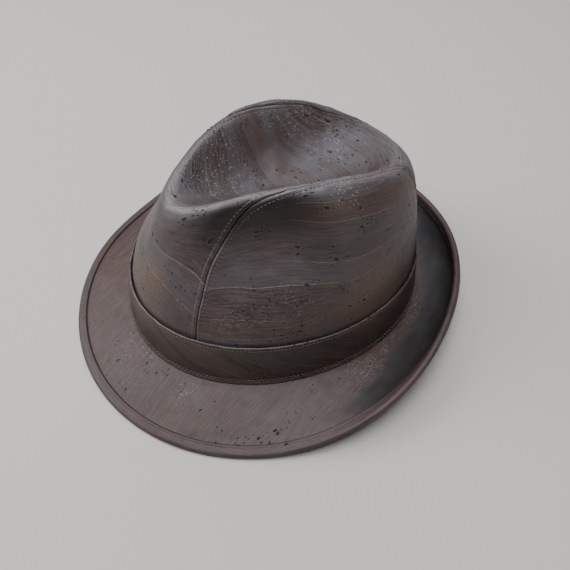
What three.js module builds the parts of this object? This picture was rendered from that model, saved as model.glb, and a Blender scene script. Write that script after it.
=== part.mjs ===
// A pinch-front fedora sewn from thin cork cloth: a crown of three panels with a teardrop dent in
// its top, a plain band round its foot, and a short brim with a bound edge. The brim dips in front
// and curls up at the sides and back.
//
// Millimetres, +Z up. The hat faces -Y and +X is the wearer's left. It lies on the plane z = 0 as
// it would on a table, and the origin is on that plane under the middle of the hat.
// A direction round the hat is an angle in degrees: 0 at the front, 90 at the wearer's left, 180 at
// the back. The two halves of the hat are alike.

import * as THREE from 'three';

// Head size: the oval that the foot of the band follows on its outside
const headLength = 206;
const headWidth = 176.5;

// Walls, and the clearance between pieces that touch
const crownWall = 2;
const bandWall = 1.7;
const brimWall = 1.8;
const bindingWall = 1;
const clearance = 0.3;

// The joint of crown and brim is a saddle: this much up at the sides and down at front and back
const saddle = 3.2;

// Band
const bandHeight = 32.2;
const bandLean = 4.6;

// Brim: its width, the slope with which it leaves the crown and how much steeper it is at its
// edge, in degrees, with up positive. The curl grows with this power of the way out.
const brimRows = [
  { angle: 0, width: 39.5, slope: -18, curl: -9 },
  { angle: 20, width: 41, slope: -17, curl: -7.5 },
  { angle: 40, width: 43, slope: -17.5, curl: 1 },
  { angle: 60, width: 43, slope: -20.5, curl: 4.5 },
  { angle: 80, width: 41.5, slope: -10.5, curl: 16.5 },
  { angle: 100, width: 41, slope: -0.5, curl: 46.5 },
  { angle: 120, width: 41.5, slope: 8.5, curl: 83 },
  { angle: 140, width: 41, slope: 15, curl: 103 },
  { angle: 160, width: 38, slope: 15.5, curl: 93.5 },
  { angle: 180, width: 36.5, slope: 14, curl: 65.5 },
];
const curlPower = 2.5;
const bindingWidth = 7.4;

// Crown: how far out and how high its crest is, how far the wall swells above the band, how far it
// swells or, where negative, is pinched in below the crest, and how far the round turn of the crest
// goes on outside and inside it
const crownRows = [
  { angle: 0, crestOut: 69.6, crestUp: 92.3, swell: 3.3, pinch: -1.6, outside: 8.4, inside: 12 },
  { angle: 20, crestOut: 53, crestUp: 102, swell: 2.7, pinch: -0.6, outside: 8.2, inside: 5.6 },
  { angle: 40, crestOut: 42.1, crestUp: 111.7, swell: 3, pinch: -11.5, outside: 7, inside: 8.9 },
  { angle: 60, crestOut: 36.5, crestUp: 114.7, swell: 6.4, pinch: -12, outside: 8.6, inside: 12.4 },
  { angle: 80, crestOut: 36.3, crestUp: 116.5, swell: 8.6, pinch: -8, outside: 8, inside: 13.8 },
  { angle: 100, crestOut: 38.2, crestUp: 116.5, swell: 7.4, pinch: 2.4, outside: 12, inside: 13.6 },
  { angle: 120, crestOut: 42.9, crestUp: 115.4, swell: 5, pinch: 4.4, outside: 13.2, inside: 13.9 },
  { angle: 140, crestOut: 54.8, crestUp: 108.4, swell: 4.6, pinch: 0, outside: 12.6, inside: 14.5 },
  { angle: 160, crestOut: 71.3, crestUp: 95.7, swell: 2.9, pinch: 2.6, outside: 12.1, inside: 14.5 },
  { angle: 180, crestOut: 83.6, crestUp: 88.7, swell: 2.6, pinch: 1.6, outside: 12.2, inside: 14.6 },
];
const dentFloor = 81.5;

// The wall's line has ten stations: 0 at its foot, 1 at the top of the band, 5 on the crest and 9
// in the middle of the dent. The seam beside the centre panel runs through these places on it.
const lastStation = 9;
const seamRows = [
  { angle: 35, station: 0 },
  { angle: 34, station: 1 },
  { angle: 33, station: 2 },
  { angle: 32, station: 2.6 },
  { angle: 34, station: 3.05 },
  { angle: 41.5, station: 3.77 },
  { angle: 54, station: 4.38 },
  { angle: 74, station: 4.74 },
  { angle: 100, station: 4.97 },
  { angle: 130, station: 5.05 },
  { angle: 149, station: 5.2 },
  { angle: 159, station: 4.85 },
  { angle: 162, station: 4 },
  { angle: 163, station: 3 },
  { angle: 164, station: 2 },
  { angle: 165, station: 1 },
  { angle: 166, station: 0 },
];

// How the hat lies: it leans back, with its front brim and the back of its joint on the table
const leanBack = 3.3;
const jointUp = 10.3;
const backShift = 4.5;

// How finely the pieces are meshed
const roundSteps = 64;
const seamSteps = 56;
const legSteps = 16;
const acrossSteps = 8;
const brimSteps = 24;

const corkBrown = new THREE.MeshStandardMaterial({ color: 0x3a2d28, roughness: 0.6, metalness: 0 });
const bandBrown = new THREE.MeshStandardMaterial({ color: 0x352824, roughness: 0.6, metalness: 0 });
const edgeBrown = new THREE.MeshStandardMaterial({ color: 0x463430, roughness: 0.6, metalness: 0 });

const radians = THREE.MathUtils.degToRad;
const lerp = THREE.MathUtils.lerp;

// Smooth curves through the tables: uniform cubic B-splines whose control values are the rows
function splineAt(place, lastStep, valueAt) {
  const step = Math.min(Math.floor(place), lastStep);
  const share = place - step;
  const left = 1 - share;
  const weights = [
    left ** 3 / 6,
    (3 * share ** 3 - 6 * share ** 2 + 4) / 6,
    (3 * left ** 3 - 6 * left ** 2 + 4) / 6,
    share ** 3 / 6,
  ];
  return weights.reduce((sum, weight, i) => sum + weight * valueAt(step + i - 1), 0);
}

// A column of a table in any direction, with the rows mirrored on the other half of the hat
function around(rows, column, angle) {
  const half = rows.length - 1;
  return splineAt((angle / 180) * half, Infinity, (step) => {
    const turn = THREE.MathUtils.euclideanModulo(step, 2 * half);
    return rows[turn > half ? 2 * half - turn : turn][column];
  });
}

// The joint of crown and brim: its distance from the middle, its height and the way out of it
function jointRadius(angle) {
  const across = Math.sin(radians(angle)) / (headWidth / 2);
  const along = Math.cos(radians(angle)) / (headLength / 2);
  return 1 / Math.hypot(across, along);
}

function jointHeight(angle) {
  return -saddle * Math.cos(radians(2 * angle));
}

function wayOut(angle) {
  const x = Math.sin(radians(angle)) / (headWidth / 2) ** 2;
  const y = -Math.cos(radians(angle)) / (headLength / 2) ** 2;
  return new THREE.Vector3(x, y, 0).normalize();
}

function inDirection(angle, radius, height) {
  const turn = radians(angle);
  return new THREE.Vector3(radius * Math.sin(turn), -radius * Math.cos(turn), height);
}

// Control points of the crown wall's line in one direction, from its foot to the dent's middle
function crownLine(angle) {
  const value = (column) => around(crownRows, column, angle);
  const foot = { out: jointRadius(angle) - bandWall - clearance, up: jointHeight(angle) };
  const bandTop = { out: foot.out - bandLean, up: foot.up + bandHeight };
  const crest = { out: value('crestOut'), up: value('crestUp') };
  const outside = value('outside');
  const shoulder = { out: crest.out + outside, up: crest.up - 0.9 * outside };
  const wall = (share, swell) => ({
    out: lerp(bandTop.out, shoulder.out, share) + swell,
    up: lerp(bandTop.up, shoulder.up, share),
  });
  const dent = (out) => ({
    out,
    up: dentFloor + (crest.up - dentFloor) * (out / crest.out) ** 2,
  });
  return [
    foot,
    bandTop,
    wall(0.33, value('swell')),
    wall(0.7, value('pinch')),
    shoulder,
    crest,
    dent(crest.out - value('inside')),
    dent(0.5 * crest.out),
    dent(0.22 * crest.out),
    dent(0),
  ];
}

// A point of the crown's outer face. The line starts straight at the foot and is level in the
// dent's middle, where it runs on into the opposite side.
function crownPoint(angle, station) {
  const line = crownLine(angle);
  const value = (side, key) => {
    if (side < 0) return 2 * line[0][key] - line[1][key];
    if (side > lastStation) return (key === 'out' ? -1 : 1) * line[lastStation - 1][key];
    return line[side][key];
  };
  const out = splineAt(station, lastStation - 1, (side) => value(side, 'out'));
  const up = splineAt(station, lastStation - 1, (side) => value(side, 'up'));
  return inDirection(angle, out, up);
}

// The crown's face spread out on a disc: its foot is the rim and the dent's middle the centre
function discPlace(angle, station) {
  const radius = 1 - station / lastStation;
  const turn = radians(angle);
  return new THREE.Vector2(radius * Math.sin(turn), -radius * Math.cos(turn));
}

function angleOf(place) {
  return THREE.MathUtils.radToDeg(Math.atan2(place.x, -place.y));
}

function crownAt(place) {
  return crownPoint(angleOf(place), lastStation * (1 - Math.min(place.length(), 1)));
}

// The way out of the crown's face at a place on the disc. The foot is cut level.
function crownNormal(place) {
  const reach = 0.004;
  const step = (x, y) => crownAt(new THREE.Vector2(place.x + x, place.y + y));
  const alongX = step(reach, 0).sub(step(-reach, 0));
  const alongY = step(0, reach).sub(step(0, -reach));
  const normal = alongX.cross(alongY).normalize();
  if (place.length() > 1 - reach) normal.setZ(0).normalize();
  return normal;
}

// The hat as it lies: leaned back, lifted and pressed flat where it would go below the table
function lay(point) {
  const laid = point.clone().applyAxisAngle(new THREE.Vector3(1, 0, 0), -radians(leanBack));
  laid.y += backShift;
  laid.z = Math.max(laid.z + jointUp, 0);
  return laid;
}

// A closed body from its corner points and its faces, which are turned to point out
function solid(points, faces) {
  const volume = faces.reduce((sum, [a, b, c]) => {
    return sum + points[a].dot(points[b].clone().cross(points[c]));
  }, 0);
  const outward = volume > 0 ? faces : faces.map(([a, b, c]) => [a, c, b]);
  const geometry = new THREE.BufferGeometry().setFromPoints(points);
  geometry.setIndex(outward.flat());
  geometry.computeVertexNormals();
  return geometry;
}

function quad(a, b, c, d) {
  return [[a, b, c], [a, c, d]];
}

// A wall between two grids of points that face each other, closed along all four sides
function wallBetween(outer, inner) {
  const rows = outer.length;
  const columns = outer[0].length;
  const points = [...outer.flat(), ...inner.flat()];
  const front = (i, j) => i * columns + j;
  const back = (i, j) => rows * columns + front(i, j);
  const faces = [];
  for (let i = 0; i + 1 < rows; i++) {
    for (let j = 0; j + 1 < columns; j++) {
      faces.push(...quad(front(i, j), front(i + 1, j), front(i + 1, j + 1), front(i, j + 1)));
      faces.push(...quad(back(i, j), back(i, j + 1), back(i + 1, j + 1), back(i + 1, j)));
    }
  }
  const side = (start, end) => {
    faces.push(...quad(front(...start), front(...end), back(...end), back(...start)));
  };
  for (let i = 0; i + 1 < rows; i++) {
    side([i + 1, 0], [i, 0]);
    side([i, columns - 1], [i + 1, columns - 1]);
  }
  for (let j = 0; j + 1 < columns; j++) {
    side([0, j], [0, j + 1]);
    side([rows - 1, j + 1], [rows - 1, j]);
  }
  return solid(points, faces);
}

// A ring round the hat whose section in each direction is a closed loop of points
function ring(sectionAt) {
  const sections = [];
  for (let i = 0; i < roundSteps; i++) sections.push(sectionAt((360 * i) / roundSteps));
  const size = sections[0].length;
  const corner = (i, j) => (i % roundSteps) * size + (j % size);
  const faces = [];
  for (let i = 0; i < roundSteps; i++) {
    for (let j = 0; j < size; j++) {
      faces.push(...quad(corner(i, j), corner(i + 1, j), corner(i + 1, j + 1), corner(i, j + 1)));
    }
  }
  return solid(sections.flat().map(lay), faces);
}

// A crown panel over a grid of places on the disc. The rows or columns named in seams stop short
// of the seam by half the clearance, and the foot stands clear of the brim.
function crownPanel(places, seams) {
  const outer = places.map((row) => row.map(crownAt));
  const normals = places.map((row) => row.map(crownNormal));
  const last = { row: places.length - 1, column: places[0].length - 1 };
  const moves = places.map((row) => row.map(() => new THREE.Vector3()));
  const draw = (i, j, towards) => {
    const way = towards.clone().sub(outer[i][j]).setLength(clearance / 2);
    moves[i][j].add(way);
  };
  for (let i = 0; i <= last.row; i++) {
    if (seams.firstColumn) draw(i, 0, outer[i][1]);
    if (seams.lastColumn) draw(i, last.column, outer[i][last.column - 1]);
  }
  for (let j = 0; j <= last.column; j++) {
    if (seams.lastRow) draw(last.row, j, outer[last.row - 1][j]);
  }
  const finish = (i, j, depth) => {
    const point = outer[i][j].clone().addScaledVector(normals[i][j], -depth);
    point.add(moves[i][j]);
    if (places[i][j].length() > 0.999) point.z = jointHeight(angleOf(places[i][j])) + clearance;
    return lay(point);
  };
  const sheet = (depth) => places.map((row, i) => row.map((_, j) => finish(i, j, depth)));
  return wallBetween(sheet(0), sheet(crownWall));
}

// Places along the seam on the wearer's left, from the front foot to the back foot
const seamCourse = new THREE.SplineCurve(seamRows.map((row) => discPlace(row.angle, row.station)));
const seamPlaces = seamCourse.getSpacedPoints(seamSteps);

// The centre panel: rows from the right seam to the left one. Near the foot they follow the wall
// round the head, and on top they run straight across.
function centrePlaces() {
  return seamPlaces.map((place) => {
    const middle = place.y < 0 ? 0 : 180;
    const swing = angleOf(place) - middle;
    const roundness = THREE.MathUtils.smoothstep(place.length(), 0.45, 0.75);
    const row = [];
    for (let j = 0; j <= acrossSteps; j++) {
      const share = (2 * j) / acrossSteps - 1;
      const bent = discPlace(middle + share * swing, lastStation * (1 - place.length()));
      const straight = new THREE.Vector2(share * place.x, place.y);
      row.push(straight.lerp(bent, roundness));
    }
    return row;
  });
}

// A side panel: its foot, the two legs of the seam that rise from it, and the seam's stretch along
// the crest between them, filled evenly in angle and station. side is 1 on the wearer's left.
function sidePlaces(side) {
  const polar = (place) => ({ angle: angleOf(place), radius: place.length() });
  const seam = seamPlaces.map(polar);
  const columns = seamSteps - 2 * legSteps;
  const first = seam[0];
  const last = seam[seamSteps];
  const places = [];
  for (let i = 0; i <= legSteps; i++) {
    const rise = i / legSteps;
    const left = seam[i];
    const right = seam[seamSteps - i];
    const row = [];
    for (let j = 0; j <= columns; j++) {
      const share = j / columns;
      const top = seam[legSteps + j];
      const fill = (key) => {
        const bottom = lerp(first[key], last[key], share);
        const corners = lerp(
          lerp(first[key], last[key], share),
          lerp(seam[legSteps][key], seam[seamSteps - legSteps][key], share),
          rise,
        );
        return lerp(bottom, top[key], rise) + lerp(left[key], right[key], share) - corners;
      };
      const radius = i === 0 ? 1 : fill('radius');
      row.push(discPlace(side * fill('angle'), lastStation * (1 - radius)));
    }
    places.push(row);
  }
  return places;
}

// The band wraps the crown's foot and keeps the clearance to it
function bandSection(angle) {
  const face = (station, depth) => {
    const place = discPlace(angle, station);
    const point = crownAt(place).addScaledVector(crownNormal(place), clearance + depth);
    if (station === 0) point.z = jointHeight(angle) + clearance;
    return point;
  };
  const stations = [0, 0.5, 1.04];
  const outside = stations.map((station) => face(station, bandWall));
  const inside = stations.map((station) => face(station, 0));
  return [...outside, ...inside.reverse()];
}

// A point of the brim in a direction: so far out from the joint, with this much above the middle
// of its thickness. Inside the joint the brim is level.
function brimPoint(angle, out, above) {
  const slope = radians(around(brimRows, 'slope', angle));
  const curl = radians(around(brimRows, 'curl', angle));
  const reach = brimReach(angle);
  const step = Math.max(out, 0) / brimSteps;
  let along = Math.min(out, 0);
  let up = 0;
  for (let i = 0; i < brimSteps; i++) {
    const steepness = slope + curl * ((step * (i + 0.5)) / reach) ** curlPower;
    along += step * Math.cos(steepness);
    up += step * Math.sin(steepness);
  }
  let steepness = out < 0 ? 0 : slope + curl * (out / reach) ** curlPower;
  if (out === 0) steepness = slope / 2;
  along -= above * Math.sin(steepness);
  up += above * Math.cos(steepness);
  const joint = inDirection(angle, jointRadius(angle), jointHeight(angle) - brimWall / 2 + up);
  return joint.addScaledVector(wayOut(angle), along);
}

// Half the thickness of the bound edge, and how far out the middle of its round nose is
const edgeRadius = brimWall / 2 + clearance + bindingWall;

function brimReach(angle) {
  return around(brimRows, 'width', angle) - edgeRadius;
}

// The round nose of the edge: a point at a radius from its middle, at a turn from the top of the
// brim, 0, over its tip, 90, to the underside, 180
function nosePoint(angle, radius, turn) {
  const reach = brimReach(angle);
  const middle = brimPoint(angle, reach, 0);
  const up = brimPoint(angle, reach, 1).sub(middle);
  const out = brimPoint(angle, reach, 0).sub(brimPoint(angle, reach - 0.1, 0)).normalize();
  const tip = Math.sin(radians(turn));
  return middle.addScaledVector(up, radius * Math.cos(radians(turn))).addScaledVector(out, radius * tip);
}

// Where the binding starts, its middle, and where its nose starts
function bindingPlaces(angle) {
  const reach = brimReach(angle);
  const foot = reach - (bindingWidth - edgeRadius);
  return [foot, (foot + reach) / 2, reach];
}

function brimSection(angle) {
  const underBinding = bindingPlaces(angle);
  const open = [0.08, 0.3, 0.54, 0.72, 0.87].map((share) => share * underBinding[0]);
  const inward = -(bandWall + clearance + crownWall);
  const places = [inward, 0, ...open, ...underBinding];
  const half = brimWall / 2;
  const top = places.map((out) => brimPoint(angle, out, half));
  const under = places.map((out) => brimPoint(angle, out, -half));
  return [...top, nosePoint(angle, half, 90), ...under.reverse()];
}

function bindingSection(angle) {
  const places = bindingPlaces(angle);
  const fold = (radius, turns) => [
    ...places.map((out) => brimPoint(angle, out, radius)),
    ...turns.map((turn) => nosePoint(angle, radius, turn)),
    ...places.map((out) => brimPoint(angle, out, -radius)).reverse(),
  ];
  const inside = fold(edgeRadius - bindingWall, [90]);
  return [...fold(edgeRadius, [45, 90, 135]), ...inside.reverse()];
}

const hat = new THREE.Group();
hat.name = 'fedora';

function addPiece(name, geometry, material) {
  const mesh = new THREE.Mesh(geometry, material);
  mesh.name = name;
  hat.add(mesh);
}

const centreSeams = { firstColumn: true, lastColumn: true };
const sideSeams = { firstColumn: true, lastColumn: true, lastRow: true };
addPiece('crown_centre', crownPanel(centrePlaces(), centreSeams), corkBrown);
addPiece('crown_side_left', crownPanel(sidePlaces(1), sideSeams), corkBrown);
addPiece('crown_side_right', crownPanel(sidePlaces(-1), sideSeams), corkBrown);
addPiece('hat_band', ring(bandSection), bandBrown);
addPiece('brim', ring(brimSection), corkBrown);
addPiece('brim_binding', ring(bindingSection), edgeBrown);

export default hat;
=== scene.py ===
"""A pinch-front fedora of cork cloth, built round its fixed frame.

The crown is three panels of cloth with a teardrop dent, the band wraps its foot, and the short
brim has a bound edge. Every piece is worked out from the named sizes and tables below, in
millimetres and degrees, and placed in the frame's metres. Angles run round the hat from its
front, by the wearer's left, to 180 at its back.
"""

import math

import bpy
import numpy as np
from mathutils import Matrix, kdtree


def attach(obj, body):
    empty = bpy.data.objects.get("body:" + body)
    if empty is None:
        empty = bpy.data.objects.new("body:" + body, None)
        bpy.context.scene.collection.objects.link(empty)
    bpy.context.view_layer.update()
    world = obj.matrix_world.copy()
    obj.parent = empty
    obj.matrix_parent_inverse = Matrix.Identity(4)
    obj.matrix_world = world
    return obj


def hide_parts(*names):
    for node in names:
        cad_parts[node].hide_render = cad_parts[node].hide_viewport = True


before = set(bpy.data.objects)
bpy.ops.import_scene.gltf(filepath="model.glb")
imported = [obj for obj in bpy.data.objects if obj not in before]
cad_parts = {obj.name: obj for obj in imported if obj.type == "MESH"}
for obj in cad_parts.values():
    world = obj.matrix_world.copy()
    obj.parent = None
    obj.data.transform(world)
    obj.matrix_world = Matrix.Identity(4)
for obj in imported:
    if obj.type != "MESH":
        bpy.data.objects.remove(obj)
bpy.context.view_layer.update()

bl_info = {
    "name": "Pinch-Front Fedora",
    "version": (1, 0, 0),
    "blender": (4, 5, 0),
    "location": "View3D > Sidebar > Fedora",
    "description": "Builds a stitched cork-cloth fedora: crown panels, band, brim and bound edge",
    "category": "Object",
}

METRES = 0.001
BODY = "root"

# The outside of the band's foot, the walls, and the clearance between pieces that touch
HEAD_LENGTH = 206.0
HEAD_WIDTH = 176.5
CROWN_WALL = 2.0
BAND_WALL = 1.7
BRIM_WALL = 1.8
BINDING_WALL = 1.0
CLEARANCE = 0.3

# How far the joint of crown and brim dips in front and behind, and rises at the sides
SADDLE = 3.2

# The band's height and lean, the crown's station at its top, and the way up the band to there
BAND_HEIGHT = 32.2
BAND_LEAN = 4.6
BAND_TOP_STATION = 1.04
BAND_RISE = BAND_HEIGHT * BAND_TOP_STATION

# The binding's width, the radius of the brim's bound edge, and the binding's flat part
BINDING_WIDTH = 7.4
EDGE_RADIUS = BRIM_WALL / 2 + CLEARANCE + BINDING_WALL
BINDING_FLAT = BINDING_WIDTH - EDGE_RADIUS

# Every 20 degrees from the front to the back: width, slope at the joint and extra slope at the
# edge, which grows outward with this power
BRIM_COLUMNS = ("width", "slope", "curl")
BRIM_ROWS = (
    (39.5, -18.0, -9.0),
    (41.0, -17.0, -7.5),
    (43.0, -17.5, 1.0),
    (43.0, -20.5, 4.5),
    (41.5, -10.5, 16.5),
    (41.0, -0.5, 46.5),
    (41.5, 8.5, 83.0),
    (41.0, 15.0, 103.0),
    (38.0, 15.5, 93.5),
    (36.5, 14.0, 65.5),
)
CURL_POWER = 2.5

# Every 20 degrees: the crest's reach and height, the wall's swell and pinch, and how far its turn
# goes on outside and inside the crest
CROWN_COLUMNS = ("crest_out", "crest_up", "swell", "pinch", "outside", "inside")
CROWN_ROWS = (
    (69.6, 92.3, 3.3, -1.6, 8.4, 12.0),
    (53.0, 102.0, 2.7, -0.6, 8.2, 5.6),
    (42.1, 111.7, 3.0, -11.5, 7.0, 8.9),
    (36.5, 114.7, 6.4, -12.0, 8.6, 12.4),
    (36.3, 116.5, 8.6, -8.0, 8.0, 13.8),
    (38.2, 116.5, 7.4, 2.4, 12.0, 13.6),
    (42.9, 115.4, 5.0, 4.4, 13.2, 13.9),
    (54.8, 108.4, 4.6, 0.0, 12.6, 14.5),
    (71.3, 95.7, 2.9, 2.6, 12.1, 14.5),
    (83.6, 88.7, 2.6, 1.6, 12.2, 14.6),
)

# The wall's line: how far its shoulder lies under the crest, where its swell and pinch stand on
# the way there, the dent's points as shares of the crest's reach, and the dent's floor
SHOULDER_DROP = 0.9
SWELL_SHARE = 0.33
PINCH_SHARE = 0.7
DENT_SHARES = (0.5, 0.22, 0)
DENT_FLOOR = 81.5
LAST_STATION = 9
CREST_STATION = 4.8

# The seam on the wearer's left, from the front foot to the back foot: angle and station
SEAM_ROWS = (
    (35, 0.0), (34, 1.0), (33, 2.0), (32, 2.6), (34, 3.05), (41.5, 3.77), (54, 4.38), (74, 4.74),
    (100, 4.97), (130, 5.05), (149, 5.2), (159, 4.85), (162, 4.0), (163, 3.0), (164, 2.0),
    (165, 1.0), (166, 0.0),
)
LEG_SHARE = 16 / 56

# Radii on the disc: between the first two the centre panel's rows bend round the crown, from the
# third the relief fades, from the fourth the face is square to its foot, and then it is the foot
BEND_FROM, BEND_TO = 0.45, 0.75
FULL_RELIEF = 0.93
NEAR_FOOT = 0.996
AT_FOOT = 0.999

# How the hat lies on the table
LEAN_BACK = 3.3
JOINT_UP = 10.3
BACK_SHIFT = 4.5

# Points round the hat in each ring, rows across the centre panel, and the lengths from which the
# panels' lines are spaced
BAND_AROUND = 640
BRIM_AROUND = 560
BINDING_AROUND = 720
CENTRE_ROWS = 421
CENTRE_HALF = 45
SIDE_RISE = 75
SIDE_HALF = 85
SHARP_EDGE = 50

# Small waves in the cloth: height, length and seed
CROWN_WAVES = ((0.07, 9, 5), (0.11, 26, 6))
BAND_WAVES = ((0.10, 22, 23),)
BRIM_WAVES = ((0.20, 24, 31), (0.10, 10, 32))

# Waves gathered along a seam or an edge: depth, length, how far they reach in and seed
BAND_TOP_GATHER = (0.12, 5.5, 3.5, 21)
BAND_FOOT_GATHER = (0.12, 5.5, 5, 22)
BINDING_GATHER = (0.10, 6.0, 3, 41)
CROWN_GATHER_REACH = 4.5
CROWN_GATHER_SEED = 3
BRIM_RADIUS = 125

# Rows of stitches on the band: height over its foot, and shift as a share of a stitch. On the
# binding: the distance from its inner edge. Then how long the rows are
BAND_STITCH_ROWS = ((BAND_RISE - 2.6, 0), (4.3, 0), (2.7, 0.5))
BINDING_STITCH_PLACE = 2.0
BAND_GIRTH = 570
BRIM_GIRTH = 790

# Ridges, and grooves below 0, along the edges: height, distance from the edge and width
CENTRE_RIDGE = 0.18
SIDE_RIDGE = 0.34
RIDGE_PLACE, RIDGE_WIDTH = 1.9, 0.95
GROOVE_WIDTH = 0.4
BAND_TOP_RIDGES = ((0.12, 1.0, 0.6),)
BAND_FOOT_RIDGES = ((0.18, 1.3, 0.8), *((-0.24, up, 0.36) for up, _ in BAND_STITCH_ROWS))
BINDING_RIDGES = ((0.10, 1.1, 0.7), (-0.07, BINDING_STITCH_PLACE, 0.4))
BAND_TOP_ROLL = 0.6
BAND_FOOT_ROLL = 0.5
BINDING_ROLL = 0.75

# Where edges are pale, partly from wear and partly as painted highlight, or dark along their foot
# as painted shadow, in the same columns
CREST_WEAR_AND_HIGHLIGHT = ((0.9, CREST_STATION, 0.42),)
SEAM_WEAR_AND_HIGHLIGHT = 1.2
SEAM_WEAR_AND_HIGHLIGHT_PLACE, SEAM_WEAR_AND_HIGHLIGHT_WIDTH = 0.5, 0.35
BAND_TOP_WEAR_AND_HIGHLIGHT = ((0.25, 0.3, 0.4),)
BAND_FOOT_WEAR_AND_HIGHLIGHT = ((0.5, 1.3, 0.5),)
BINDING_SHADOW = ((1.6, 0, 0.55),)

# Each kind of stitch: its share of the spacing, the thread's width and how far it stands out
STITCHES = {
    "crown_stitches": (0.72, 0.5, 0.16),
    "band_stitches": (0.7, 0.4, 0.05),
    "binding_stitches": (0.7, 0.4, -0.18),
}

# One unit of the grain map is this many millimetres of cloth. The centre panel's grain slants
# down to the left in front and up in the dent, and turns over between these lengths from its foot
GRAIN_UNIT = 100.0
GRAIN_SLOPE = 0.42
FRONT_TURN = (50, 125)
BACK_TURN = (190, 260)

# Each cloth: gloss, turn of the grain, strips of cork to a unit of grain, share of pores and how
# far the strips differ; and its dark, mid, cool and warm colours
CLOTHS = {
    "crown": (0.34, 0.0, 8.5, 0.5, 1.0),
    "band": (0.36, 0.5, 14.0, 0.3, 1.0),
    "brim": (0.47, 1.155, 8.5, 0.1, 0.35),
    "binding": (0.46, 0.0, 8.5, 0.1, 0.3),
}
SHADES = {
    "crown": ("crown_dark", "crown_mid", "crown_cool", "crown_warm"),
    "band": ("band_dark", "band_mid", "band_mid", "crown_warm"),
    "brim": ("brim_dark", "brim_mid", "brim_mid", "edge_mid"),
    "binding": ("edge_dark", "edge_mid", "brim_mid", "edge_mid"),
}

# Colours of the cork's marks; the pale of worn places also serves as painted highlight, and the
# pores' dark also as painted shade
GOLD = (0.24, 0.14, 0.06)
GLUE = (0.21, 0.15, 0.11)
PALE_FLECK = (0.42, 0.43, 0.46)
WEAR_AND_HIGHLIGHT = (0.21, 0.19, 0.19)
PORE_AND_SHADE_DARK = (0.008, 0.005, 0.004)

# Where the cloth has pale flecks or golden specks on the hat as it lies: the mark, x, y and z, how
# far the patch reaches and how strong it is. It fades from this share of its reach
PATCH_ROWS = (
    ("pale", -22, -19, 113, 24, 0.5), ("pale", -11, -31, 104, 22, 0.5),
    ("pale", -11, -12, 99, 18, 0.4), ("pale", -14, 50, 95, 22, 0.4),
    ("pale", -36, 30, 112, 26, 0.5), ("pale", 41, 32, 119, 20, 0.9),
    ("pale", 62, -43, 62, 24, 0.2), ("pale", 70, -9, 66, 26, 0.18),
    ("pale", 20, -102, 6, 32, 0.25), ("pale", 62, -83, 3, 16, 0.4),
    ("pale", 93, 31, 12, 32, 0.4), ("pale", 60, 80, 20, 34, 0.4),
    ("pale", -60, 60, 80, 30, 0.6), ("pale", -80, -40, 20, 34, 0.7),
    ("golden", 11, -80, 66, 20, 0.9), ("golden", 7, -88, 44, 24, 0.8),
    ("golden", 75, 37, 53, 36, 0.9), ("golden", -70, 20, 60, 30, 0.6),
)
PATCH_CORE = 0.3

# The stage, in metres: name, place, size, power and colour of each light
LAMP_ROWS = (
    ("front_panel", (-0.62, -0.82, 0.90), 0.85, 16.5, (0.88, 0.91, 1.0)),
    ("back_panel", (-0.85, 0.45, 0.92), 0.80, 5.0, (0.84, 0.89, 1.0)),
    ("overhead_panel", (0.10, 0.0, 1.35), 0.85, 23.0, (0.82, 0.88, 1.0)),
    ("low_front_panel", (-0.40, -1.50, 0.45), 0.75, 3.5, (0.95, 0.93, 1.0)),
    ("low_back_panel", (-1.10, 1.10, 0.45), 0.75, 1.0, (0.95, 0.93, 1.0)),
    ("low_side_panel", (1.40, 0.70, 0.55), 0.75, 2.4, (1.0, 0.94, 0.92)),
)
ROOM_COLOUR = (0.90, 0.94, 1.0, 1)
ROOM_STRENGTH = 0.06
FLOOR_COLOUR = (0.50, 0.46, 0.39, 1)
FLOOR_HALF = 3.0
FLOOR_DROP = 0.0002

# The camera: its turn round the hat, height and roll in degrees, and its place in millimetres
CAMERA = {
    "turn": 67.105,
    "height": 52.501,
    "roll": -2.792,
    "distance": 414.724,
    "right": 6.23,
    "up": -2.688,
    "target": (0.0, 4.5, -0.35),
    "lens": 35.989,
}


# The hat's surfaces


def spline_weights(share):
    """Weights of the four control values of a uniform cubic B-spline."""
    left = 1 - share
    return (
        left**3 / 6,
        (3 * share**3 - 6 * share**2 + 4) / 6,
        (3 * left**3 - 6 * left**2 + 4) / 6,
        share**3 / 6,
    )


def around(rows, columns, name, angle):
    """A table's column in any direction, mirrored on the other half of the hat."""
    column = np.array([row[columns.index(name)] for row in rows])
    half = len(column) - 1
    place = np.asarray(angle, float) / 180 * half
    step = np.floor(place).astype(int)
    value = 0
    for offset, weight in zip((-1, 0, 1, 2), spline_weights(place - step)):
        turn = (step + offset) % (2 * half)
        value = value + weight * column[np.where(turn > half, 2 * half - turn, turn)]
    return value


def joint_radius(angle):
    across = np.sin(np.radians(angle)) / (HEAD_WIDTH / 2)
    along = np.cos(np.radians(angle)) / (HEAD_LENGTH / 2)
    return 1 / np.hypot(across, along)


def joint_height(angle):
    return -SADDLE * np.cos(np.radians(2 * angle))


def way_out(angle):
    """The level direction square to the joint's oval."""
    x = np.sin(np.radians(angle)) / (HEAD_WIDTH / 2) ** 2
    y = -np.cos(np.radians(angle)) / (HEAD_LENGTH / 2) ** 2
    size = np.hypot(x, y)
    return np.stack([x / size, y / size, np.zeros_like(x)], -1)


def in_direction(angle, radius, height):
    turn = np.radians(angle)
    return np.stack([radius * np.sin(turn), -radius * np.cos(turn), height + 0 * radius], -1)


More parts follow.
